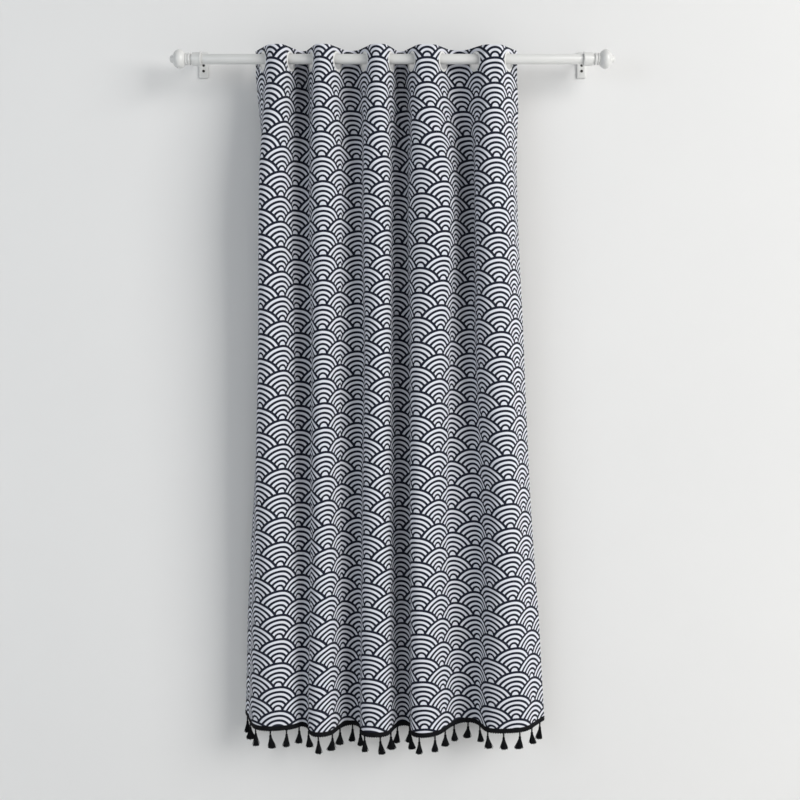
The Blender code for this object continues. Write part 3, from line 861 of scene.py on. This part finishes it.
# The printed scales: their radius, where the first column and row lie, and as shares of the radius
# the centre dot, the edge's softness and each pale stripe
SCALE_RADIUS = 0.06364
FIRST_COLUMN = 0.1050
FIRST_ROW = 0.0290
ROW_CLOSENESS = 1.014
CENTRE_DOT = 0.135
PRINT_EDGE = 0.007
Stripe = namedtuple("Stripe", "middle half_width")
STRIPES = (
    Stripe(0.270, 0.047),
    Stripe(0.460, 0.048),
    Stripe(0.655, 0.049),
    Stripe(0.850, 0.050),
)


def build_scale_print():
    """Overlapping scales: 1 on the pale stripes and 0 on the dark ground.

    Scales stand in columns one radius apart, every other column half a radius lower, and each
    one covers the scale above it.
    """
    group, given, wanted = new_group(
        "scale_print",
        (("Across", "Float", 0.0), ("Down", "Float", 0.0), ("Radius", "Float", SCALE_RADIUS)),
        (("Pale", "Float"),),
    )
    column = maths(group, "DIVIDE", given["Across"], given["Radius"])
    row = maths(group, "MULTIPLY", maths(group, "DIVIDE", given["Down"], given["Radius"]), 2.0)
    row_above = maths(group, "FLOOR", row)
    distance = None
    for lower in (0.0, 1.0, 2.0):
        centre_row = maths(group, "ADD", row_above, lower)
        drop = maths(group, "MULTIPLY", maths(group, "SUBTRACT", centre_row, row), 0.5)
        aside = maths(group, "PINGPONG", maths(group, "SUBTRACT", column, centre_row), 1.0)
        squares = maths(group, "MULTIPLY_ADD", drop, drop, maths(group, "MULTIPLY", aside, aside))
        reach = maths(group, "SQRT", squares)
        if distance is None:
            distance = reach
        else:
            covers = maths(group, "LESS_THAN", reach, 1.0)
            change = maths(group, "SUBTRACT", reach, distance)
            distance = maths(group, "MULTIPLY_ADD", covers, change, distance)
    ramp = node(group, "ValToRGB", {"Fac": distance})
    stops = [(0.0, 1.0), (CENTRE_DOT - PRINT_EDGE, 1.0), (CENTRE_DOT + PRINT_EDGE, 0.0)]
    for middle, half in STRIPES:
        stops += [
            (middle - half - PRINT_EDGE, 0.0),
            (middle - half + PRINT_EDGE, 1.0),
            (middle + half - PRINT_EDGE, 1.0),
            (middle + half + PRINT_EDGE, 0.0),
        ]
    points = ramp.color_ramp.elements
    points.remove(points[1])
    for number, (place, pale) in enumerate(stops):
        point = points[0] if number == 0 else points.new(place)
        point.position = place
        point.color = (pale, pale, pale, 1.0)
    feed(group, wanted["Pale"], ramp.outputs["Color"])
    return group


THREAD_PITCH = 0.0009


def build_weave():
    """Plain weave: a height, and a tone with painted shade, darker in the hollows between the threads."""
    group, given, wanted = new_group(
        "plain_weave",
        (("Across", "Float", 0.0), ("Down", "Float", 0.0), ("Pitch", "Float", THREAD_PITCH)),
        (("Height", "Float"), ("Tone", "Float")),
    )
    turn_rate = maths(group, "DIVIDE", math.pi, given["Pitch"])
    warp = maths(group, "SINE", maths(group, "MULTIPLY", given["Across"], turn_rate))
    weft = maths(group, "SINE", maths(group, "MULTIPLY", given["Down"], turn_rate))
    over = maths(group, "MULTIPLY_ADD", maths(group, "MULTIPLY", warp, weft), 0.5, 0.5)
    under = maths(group, "SUBTRACT", 1.0, over)
    warp_height = maths(group, "MULTIPLY", maths(group, "ABSOLUTE", warp), over)
    weft_height = maths(group, "MULTIPLY", maths(group, "ABSOLUTE", weft), under)
    height = maths(group, "MAXIMUM", warp_height, weft_height)
    feed(group, wanted["Height"], height)
    # The tone is painted shade: it is darkest where the threads dip.
    feed(group, wanted["Tone"], maths(group, "POWER", height, 0.5))
    return group


scale_print = build_scale_print()
plain_weave = build_weave()


def make_printed_cloth(name, ink_strength):
    """Printed canvas: the print on the weave and its slubs, with ink of a given strength."""
    pale = (0.790, 0.802, 0.862, 1.0)
    pale_thin = (0.690, 0.702, 0.770, 1.0)
    ink = (0.0080, 0.0105, 0.0225, 1.0)
    material, tree, shader = new_material(name, 0.88)
    place = node(tree, "SeparateXYZ", {"Vector": node(tree, "UVMap", uv_map="UVMap").outputs["UV"]})
    across = maths(tree, "MULTIPLY", place.outputs["X"], PANEL_WIDTH)
    down = maths(tree, "MULTIPLY", maths(tree, "SUBTRACT", 1.0, place.outputs["Y"]), PANEL_LENGTH)
    printed = placed_group(
        tree,
        scale_print,
        Across=maths(tree, "SUBTRACT", across, FIRST_COLUMN),
        Down=maths(tree, "MULTIPLY", maths(tree, "SUBTRACT", down, FIRST_ROW), ROW_CLOSENESS),
        Radius=SCALE_RADIUS,
    )
    weave = placed_group(tree, plain_weave, Across=across, Down=down, Pitch=THREAD_PITCH)
    spot = node(tree, "CombineXYZ", {"X": across, "Y": down})
    slubs = node(tree, "TexNoise", {"Vector": spot.outputs["Vector"], "Scale": 420.0, "Detail": 3.0})
    ground = blended(tree, slubs.outputs["Fac"], pale_thin, pale)
    ink_colour = blended(tree, ink_strength, ground, ink)
    colour = blended(tree, printed["Pale"], ink_colour, ground)
    # Painted shade: the weave's tone darkens the colour in the hollows between the threads.
    shade = maths(tree, "MULTIPLY_ADD", weave["Tone"], 0.25, 0.80)
    tinted = node(tree, "Mix", data_type="RGBA", blend_type="MULTIPLY")
    tinted.inputs[0].default_value = 1.0
    feed(tree, tinted.inputs[6], colour)
    thread_shade_colour = node(tree, "CombineColor", {"Red": shade, "Green": shade, "Blue": shade})
    feed(tree, tinted.inputs[7], thread_shade_colour.outputs[0])
    feed(tree, shader.inputs["Base Color"], tinted.outputs[2])
    threads = maths(tree, "MULTIPLY_ADD", slubs.outputs["Fac"], 0.6, weave["Height"])
    bumped(tree, shader, threads, strength=0.35, distance=0.0004)
    shader.inputs["Sheen Weight"].default_value = 0.04
    shader.inputs["Sheen Roughness"].default_value = 0.5
    shader.inputs["Specular IOR Level"].default_value = 0.2
    return material


def make_panel():
    """Hang the cloth, give it its thickness, and let the print show through on the back."""
    cloth = make_flat_cloth()
    hang_cloth(cloth)
    cloth.data.materials.append(make_printed_cloth("printed_cloth", 1.0))
    cloth.data.materials.append(make_printed_cloth("printed_cloth_back", 0.62))
    apply_step(cloth, "SOLIDIFY", thickness=CLOTH_THICKNESS, offset=0.0, material_offset=1)
    bpy.ops.object.shade_smooth_by_angle(angle=math.radians(60))
    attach(cloth, "root")
    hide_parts("curtain_panel")
    return cloth


cloth_piece = make_panel()

# Eyelets
# Ten white plastic rings, each made of two halves that are pressed together through a punched hole,
# so that their domed rims grip the cloth on both sides. They hang on the rod.

EYELET_BORE_RADIUS = 0.020
EYELET_RIM_RADIUS = 0.0255
EYELET_BARREL_RADIUS = 0.0212
EYELET_GRIP = CLOTH_THICKNESS / 2 + 0.0001
EYELET_DOME = 0.0012
DOME_FULLNESS = 0.8
DOME_STEPS = 9


def make_white_plastic():
    """Moulded white plastic, slightly glossy."""
    material, tree, shader = new_material("white_ring", 0.28)
    place = node(tree, "TexCoord").outputs["Object"]
    grain = placed_group(tree, surface_grain, Position=place, Grain=700.0, Drift=60.0)
    colour = blended(tree, grain["Tone"], (0.80, 0.80, 0.79, 1.0), (0.74, 0.74, 0.72, 1.0))
    feed(tree, shader.inputs["Base Color"], colour)
    bumped(tree, shader, grain["Height"], strength=0.06, distance=0.0002)
    return material


white_ring = make_white_plastic()


def eyelet_profile():
    """Two domed rims with the slot that grips the cloth between them."""
    half_rim = (EYELET_RIM_RADIUS - EYELET_BORE_RADIUS) / 2
    middle = EYELET_BORE_RADIUS + half_rim
    points = []
    for k in range(DOME_STEPS + 1):
        angle = math.pi * k / DOME_STEPS
        dome = EYELET_DOME * math.sin(angle) ** DOME_FULLNESS
        points.append((-EYELET_GRIP - dome, middle - half_rim * math.cos(angle)))
    points.append((-EYELET_GRIP, EYELET_BARREL_RADIUS))
    mirrored = [(-along, radius) for along, radius in reversed(points)]
    return points + mirrored


first_eyelet = turned("eyelet", eyelet_profile(), 56, ring=True)
bpy.ops.object.shade_smooth_by_angle(angle=math.radians(50))
coated(first_eyelet, white_ring)
for number, centre in enumerate(EYELET_CENTRES, start=1):
    eyelet = copied(first_eyelet, f"eyelet_{number:02d}_piece")
    (x,), (y,), _, (face_x,), (face_y,) = hang(np.array([centre]), EYELET_Z)
    moved(eyelet, (x, y, EYELET_Z), math.atan2(face_y, face_x))
    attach(eyelet, "root")
    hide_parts(f"eyelet_{number:02d}")
bpy.data.objects.remove(first_eyelet, do_unlink=True)

# Braid
# A flat black gimp braid, plaited from two rows of cotton yarn, sewn on along the hem. The
# tassels' cords are caught in it.

BRAID_HEIGHT = 0.0100
BRAID_OVERLAP = 0.0036
BRAID_THICKNESS = 0.0028
PLAIT_PITCH = 0.0062
PLAIT_SLANT = 0.0050
PLAIT_RELIEF = 0.0010
BRAID_SCALLOP = 0.0021
BRAID_STEP = 0.0007
BRAID_ROWS = 9
CROWN_EDGE = 0.06
CROWN_FULLNESS = 0.35
GROOVE_DEPTH = 0.35
GROOVE_WIDTH = 0.07
RIDGE_MIDDLE = 0.6


def make_black_yarn(name, sheen, strand_pitch):
    """Dyed black yarn: twisted strands, a slight bluish lustre and dull hollows between them."""
    material, tree, shader = new_material(name, 0.75)
    place = node(tree, "TexCoord").outputs["Object"]
    grain = placed_group(tree, surface_grain, Position=place, Grain=1500.0, Drift=90.0)
    colour = blended(tree, grain["Tone"], (0.0030, 0.0031, 0.0036, 1.0), (0.0080, 0.0084, 0.0105, 1.0))
    feed(tree, shader.inputs["Base Color"], colour)
    strands = node(
        tree,
        "TexWave",
        {"Vector": place, "Scale": 1 / strand_pitch, "Distortion": 3.0, "Detail": 1.0},
    )
    height = maths(tree, "ADD", strands.outputs["Fac"], grain["Height"])
    bumped(tree, shader, height, strength=0.5, distance=0.0002)
    shader.inputs["Specular IOR Level"].default_value = 0.1
    shader.inputs["Sheen Weight"].default_value = sheen
    shader.inputs["Sheen Roughness"].default_value = 0.4
    shader.inputs["Sheen Tint"].default_value = (0.72, 0.78, 1.0, 1.0)
    return material


braid_yarn = make_black_yarn("braid_yarn", 0.01, 0.006)


def meshed(name, points, faces):
    """A piece made from points and faces."""
    mesh = bpy.data.meshes.new(name)
    mesh.from_pydata(points, [], faces)
    piece = bpy.data.objects.new(name, mesh)
    bpy.context.collection.objects.link(piece)
    return piece


def make_braid():
    """A strip along the hem, closed all round, with a raised herringbone plait on both faces."""
    count = round(PANEL_WIDTH / BRAID_STEP)
    across = np.linspace(0.0, PANEL_WIDTH, count + 1)
    x, y, top, face_x, face_y = hang(across, HEM)
    rise = crease_height(across, HEM)
    scallop = BRAID_SCALLOP * np.abs(np.sin(across * math.pi / PLAIT_PITCH))
    faces_out = [(share / BRAID_ROWS, 1) for share in range(BRAID_ROWS + 1)]
    faces_back = [(share, -1) for share, _ in reversed(faces_out)]
    loops = []
    for share, side in faces_out + faces_back:
        slant = abs(share - 0.5) * 2 * PLAIT_SLANT
        ridge = np.abs(np.sin((across + slant) * math.pi / PLAIT_PITCH))
        crown = math.sin(math.pi * min(max(share, CROWN_EDGE), 1 - CROWN_EDGE)) ** CROWN_FULLNESS
        groove = 1 - GROOVE_DEPTH * math.exp(-((share - 0.5) / GROOVE_WIDTH) ** 2)
        half_thickness = BRAID_THICKNESS / 2 * groove + PLAIT_RELIEF * (ridge - RIDGE_MIDDLE)
        proud = rise + side * crown * half_thickness
        z = top + BRAID_OVERLAP - share * (BRAID_HEIGHT + BRAID_OVERLAP - BRAID_SCALLOP + scallop)
        loops.append(np.column_stack((x + proud * face_x, y + proud * face_y, z)))
    points = np.stack(loops, axis=1)
    around = len(loops)
    faces = []
    for k in range(count):
        start = k * around
        for j in range(around):
            after = (j + 1) % around
            faces.append((start + j, start + around + j, start + around + after, start + after))
    faces.append(tuple(range(around)))
    faces.append(tuple(count * around + j for j in reversed(range(around))))
    braid = meshed("hem_braid", points.reshape(-1, 3).tolist(), faces)
    start_edit(braid, "VERT")
    end_edit()
    bpy.ops.object.shade_smooth_by_angle(angle=math.radians(60))
    coated(braid, braid_yarn)
    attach(braid, "root")
    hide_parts("tassel_trim")
    return braid


braid_piece = make_braid()

# Tassels
# Twenty-nine tassels of soft black yarn. Each is a bundle of yarns hung over a twisted cord, bound
# round just below its top, and cut off to a loose skirt that flares and tilts a little.

TASSEL_COUNT = 29
TASSEL_SPACING = PANEL_WIDTH / TASSEL_COUNT
CORD_RADIUS = 0.0025
CORD_LENGTH = 0.0110
CORD_IN_BRAID = 0.0015
CORD_TURNS = 4
CORD_STEPS = 14
PLY_OFFSET = 0.5 * CORD_RADIUS
PLY_RADIUS = 0.62 * CORD_RADIUS
HEAD_RADIUS = 0.0033
HEAD_LENGTH = 0.0060
HEAD_STEPS = 16
SHOULDER_SHARE = 0.3
BINDING_TURNS = 4
BINDING_RELIEF = 0.0003
SKIRT_LENGTH = 0.0275
SKIRT_RADIUS = 0.0138
SKIRT_LENGTHS = (0.93, 1.05)
SKIRT_SPREADS = (0.68, 1.02)
SKIRT_LEANS = (0.0022, 0.0014)
CORE_DOWN = (0.0, 0.35, 0.7, 0.93)
CORE_SPREADS = (0.45, 0.68, 0.74)
YARNS = 64
YARN_RADIUS = 0.00068
YARN_STEPS = 5
YARN_LENGTHS = (0.87, 1.04)
YARN_REACHES = (0.84, 1.12)
YARN_CURL = 0.0007
YARN_FLARE = 1.1
GOLDEN_TURN = math.radians(137.5)
GOLDEN_DRIFT = 0.15

tassel_yarn = make_black_yarn("tassel_yarn", 0.01, 0.0016)


def tube(points, faces, centres, radii, sides):
    """Add a closed tube along centres, with a radius at each, to lists of points and faces."""
    start = len(points)
    for centre, radius in zip(centres, radii):
        for k in range(sides):
            angle = math.tau * k / sides
            x = centre[0] + radius * math.cos(angle)
            y = centre[1] + radius * math.sin(angle)
            points.append((x, y, centre[2]))
    for row in range(len(centres) - 1):
        for k in range(sides):
            after = (k + 1) % sides
            upper = start + row * sides
            lower = upper + sides
            faces.append((upper + k, lower + k, lower + after, upper + after))
    faces.append(tuple(start + k for k in range(sides)))
    last = start + (len(centres) - 1) * sides
    faces.append(tuple(last + k for k in reversed(range(sides))))


def add_cord(points, faces, top, length):
    """The short twisted cord between the braid and the head, as two plies."""
    for ply in (0.0, math.pi):
        centres = []
        for k in range(CORD_STEPS + 1):
            share = k / CORD_STEPS
            angle = ply + math.tau * CORD_TURNS * share
            centres.append((
                top[0] + PLY_OFFSET * math.cos(angle),
                top[1] + PLY_OFFSET * math.sin(angle),
                top[2] - length * share,
            ))
        tube(points, faces, centres, [PLY_RADIUS] * (CORD_STEPS + 1), 5)


def add_head(points, faces, top):
    """The bound top of the bundle: a rounded shoulder and a few turns of binding."""
    centres = []
    radii = []
    for k in range(HEAD_STEPS + 1):
        share = k / HEAD_STEPS
        shoulder = math.sin(min(share / SHOULDER_SHARE, 1.0) * math.pi / 2)
        wrap = BINDING_RELIEF * math.sin(math.tau * BINDING_TURNS * share)
        centres.append((top[0], top[1], top[2] - HEAD_LENGTH * share))
        radii.append(max(HEAD_RADIUS * shoulder, CORD_RADIUS) + wrap * shoulder)
    tube(points, faces, centres, radii, 14)


def add_skirt(points, faces, top, lean, draw):
    """The loose yarns, each on its own way down and out, round a plain dark core."""
    length = SKIRT_LENGTH * draw.uniform(*SKIRT_LENGTHS)
    spread = SKIRT_RADIUS * draw.uniform(*SKIRT_SPREADS)
    core = []
    for share in CORE_DOWN:
        core.append((top[0] + lean[0] * share, top[1] + lean[1] * share, top[2] - length * share))
    core_radii = [HEAD_RADIUS * 0.9] + [spread * share for share in CORE_SPREADS]
    tube(points, faces, core, core_radii, 10)
    for number in range(YARNS):
        angle = number * GOLDEN_TURN + draw.uniform(-GOLDEN_DRIFT, GOLDEN_DRIFT)
        outward = math.sqrt((number + 0.5) / YARNS)
        reach = spread * outward * draw.uniform(*YARN_REACHES)
        own_length = length * draw.uniform(*YARN_LENGTHS) * (1 - 0.05 * outward)
        curl = draw.uniform(-YARN_CURL, YARN_CURL)
        centres = []
        for k in range(YARN_STEPS + 1):
            share = k / YARN_STEPS
            flare = HEAD_RADIUS * 0.86 * outward * (1 - share) + reach * share ** YARN_FLARE
            swing = angle + curl / SKIRT_RADIUS * 6 * math.sin(math.pi * share)
            centres.append((
                top[0] + flare * math.cos(swing) + lean[0] * share,
                top[1] + flare * math.sin(swing) + lean[1] * share,
                top[2] - own_length * share,
            ))
        radii = [YARN_RADIUS * (1.0 + 0.25 * k / YARN_STEPS) for k in range(YARN_STEPS)]
        radii.append(YARN_RADIUS * 0.8)
        tube(points, faces, centres, radii, 3)


def make_tassels(name, numbers):
    """A run of tassels along the hem, joined into one mesh."""
    points = []
    faces = []
    for number in numbers:
        draw = np.random.default_rng(number)
        across = np.array([TASSEL_SPACING * (number + 0.5)])
        (x,), (y,), (z,), (face_x,), (face_y,) = hang(across, HEM)
        (rise,) = crease_height(across, HEM)
        lean = [draw.normal(0.0, deviation) for deviation in SKIRT_LEANS]
        x = float(x + rise * face_x)
        y = float(y + rise * face_y)
        top = (x, y, float(z) - BRAID_HEIGHT + CORD_IN_BRAID)
        add_cord(points, faces, top, CORD_LENGTH + CORD_IN_BRAID)
        head = (top[0], top[1], top[2] - CORD_LENGTH)
        add_head(points, faces, head)
        add_skirt(points, faces, (head[0], head[1], head[2] - HEAD_LENGTH * 0.9), lean, draw)
    tassels = meshed(name, points, faces)
    start_edit(tassels, "VERT")
    bpy.ops.mesh.select_all(action="SELECT")
    bpy.ops.mesh.normals_make_consistent(inside=False)
    bpy.ops.object.mode_set(mode="OBJECT")
    bpy.ops.object.shade_smooth_by_angle(angle=math.radians(65))
    coated(tassels, tassel_yarn)
    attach(tassels, "root")
    return tassels


tassel_pieces = [make_tassels("hem_tassels", range(TASSEL_COUNT))]

# Floor, backdrop, light and camera
# A pale floor and a pale backdrop that shows only from the front, one large soft light from the
# front right, a weaker one from the left, and an even white surround.

FLOOR_Z = -2.10
STAGE_SIZE = 12.0
BACKDROP_Y = 0.002
CAMERA_PLACE = (0.0195, -2.990, -0.772)
CAMERA_DOWN = math.radians(2.1)
LENS_MM = 50.0
SENSOR_MM = 36.0


def make_stage_surface(name, size, place, turn, one_sided):
    """A large plain pale plane; one_sided makes it clear from behind."""
    bpy.ops.mesh.primitive_plane_add(size=size, location=place, rotation=turn)
    surface = added(name)
    material, tree, shader = new_material(name, 0.9)
    spot = node(tree, "TexCoord").outputs["Object"]
    mottle = node(tree, "TexNoise", {"Vector": spot, "Scale": 1.3, "Detail": 3.0})
    colour = blended(tree, mottle.outputs["Fac"], (0.792, 0.790, 0.785, 1.0), (0.832, 0.828, 0.820, 1.0))
    feed(tree, shader.inputs["Base Color"], colour)
    if one_sided:
        clear = node(tree, "BsdfTransparent")
        chosen = node(tree, "MixShader", {"Fac": node(tree, "NewGeometry").outputs["Backfacing"]})
        tree.links.new(shader.outputs[0], chosen.inputs[1])
        tree.links.new(clear.outputs[0], chosen.inputs[2])
        tree.links.new(chosen.outputs[0], tree.nodes["Material Output"].inputs["Surface"])
    surface.data.materials.append(material)


make_stage_surface("floor", STAGE_SIZE, (0.0, 0.0, FLOOR_Z), (0.0, 0.0, 0.0), False)
backdrop_place = (0.0, BACKDROP_Y, FLOOR_Z + STAGE_SIZE / 2)
make_stage_surface("backdrop", STAGE_SIZE, backdrop_place, (math.pi / 2, 0.0, 0.0), True)


def add_light(name, place, target, size, watts, colour):
    """A square soft light that faces a point."""
    light = bpy.data.lights.new(name, "AREA")
    light.shape = "SQUARE"
    light.size = size
    light.energy = watts
    light.color = colour
    lamp = bpy.data.objects.new(name, light)
    bpy.context.collection.objects.link(lamp)
    lamp.location = place
    lamp.rotation_euler = (Vector(target) - Vector(place)).to_track_quat("-Z", "Y").to_euler()


add_light("key_light", (6.4, -5.5, 1.8), (0.0, 0.0, -0.8), 5.0, 580.0, (1.0, 0.99, 0.97))
add_light("fill_light", (-3.4, -3.6, 0.0), (0.0, 0.0, -0.9), 2.4, 40.0, (0.84, 0.92, 1.0))

world = bpy.data.worlds.new("surround")
world.use_nodes = True
world.node_tree.nodes["Background"].inputs["Color"].default_value = (0.96, 0.98, 1.0, 1.0)
world.node_tree.nodes["Background"].inputs["Strength"].default_value = 0.27
bpy.context.scene.world = world
bpy.context.scene.view_settings.view_transform = "Standard"

camera_data = bpy.data.cameras.new("camera")
camera_data.lens = LENS_MM
camera_data.sensor_width = SENSOR_MM
camera = bpy.data.objects.new("camera", camera_data)
camera.location = CAMERA_PLACE
camera.rotation_euler = (math.pi / 2 - CAMERA_DOWN, 0.0, 0.0)
bpy.context.collection.objects.link(camera)
bpy.context.scene.camera = camera
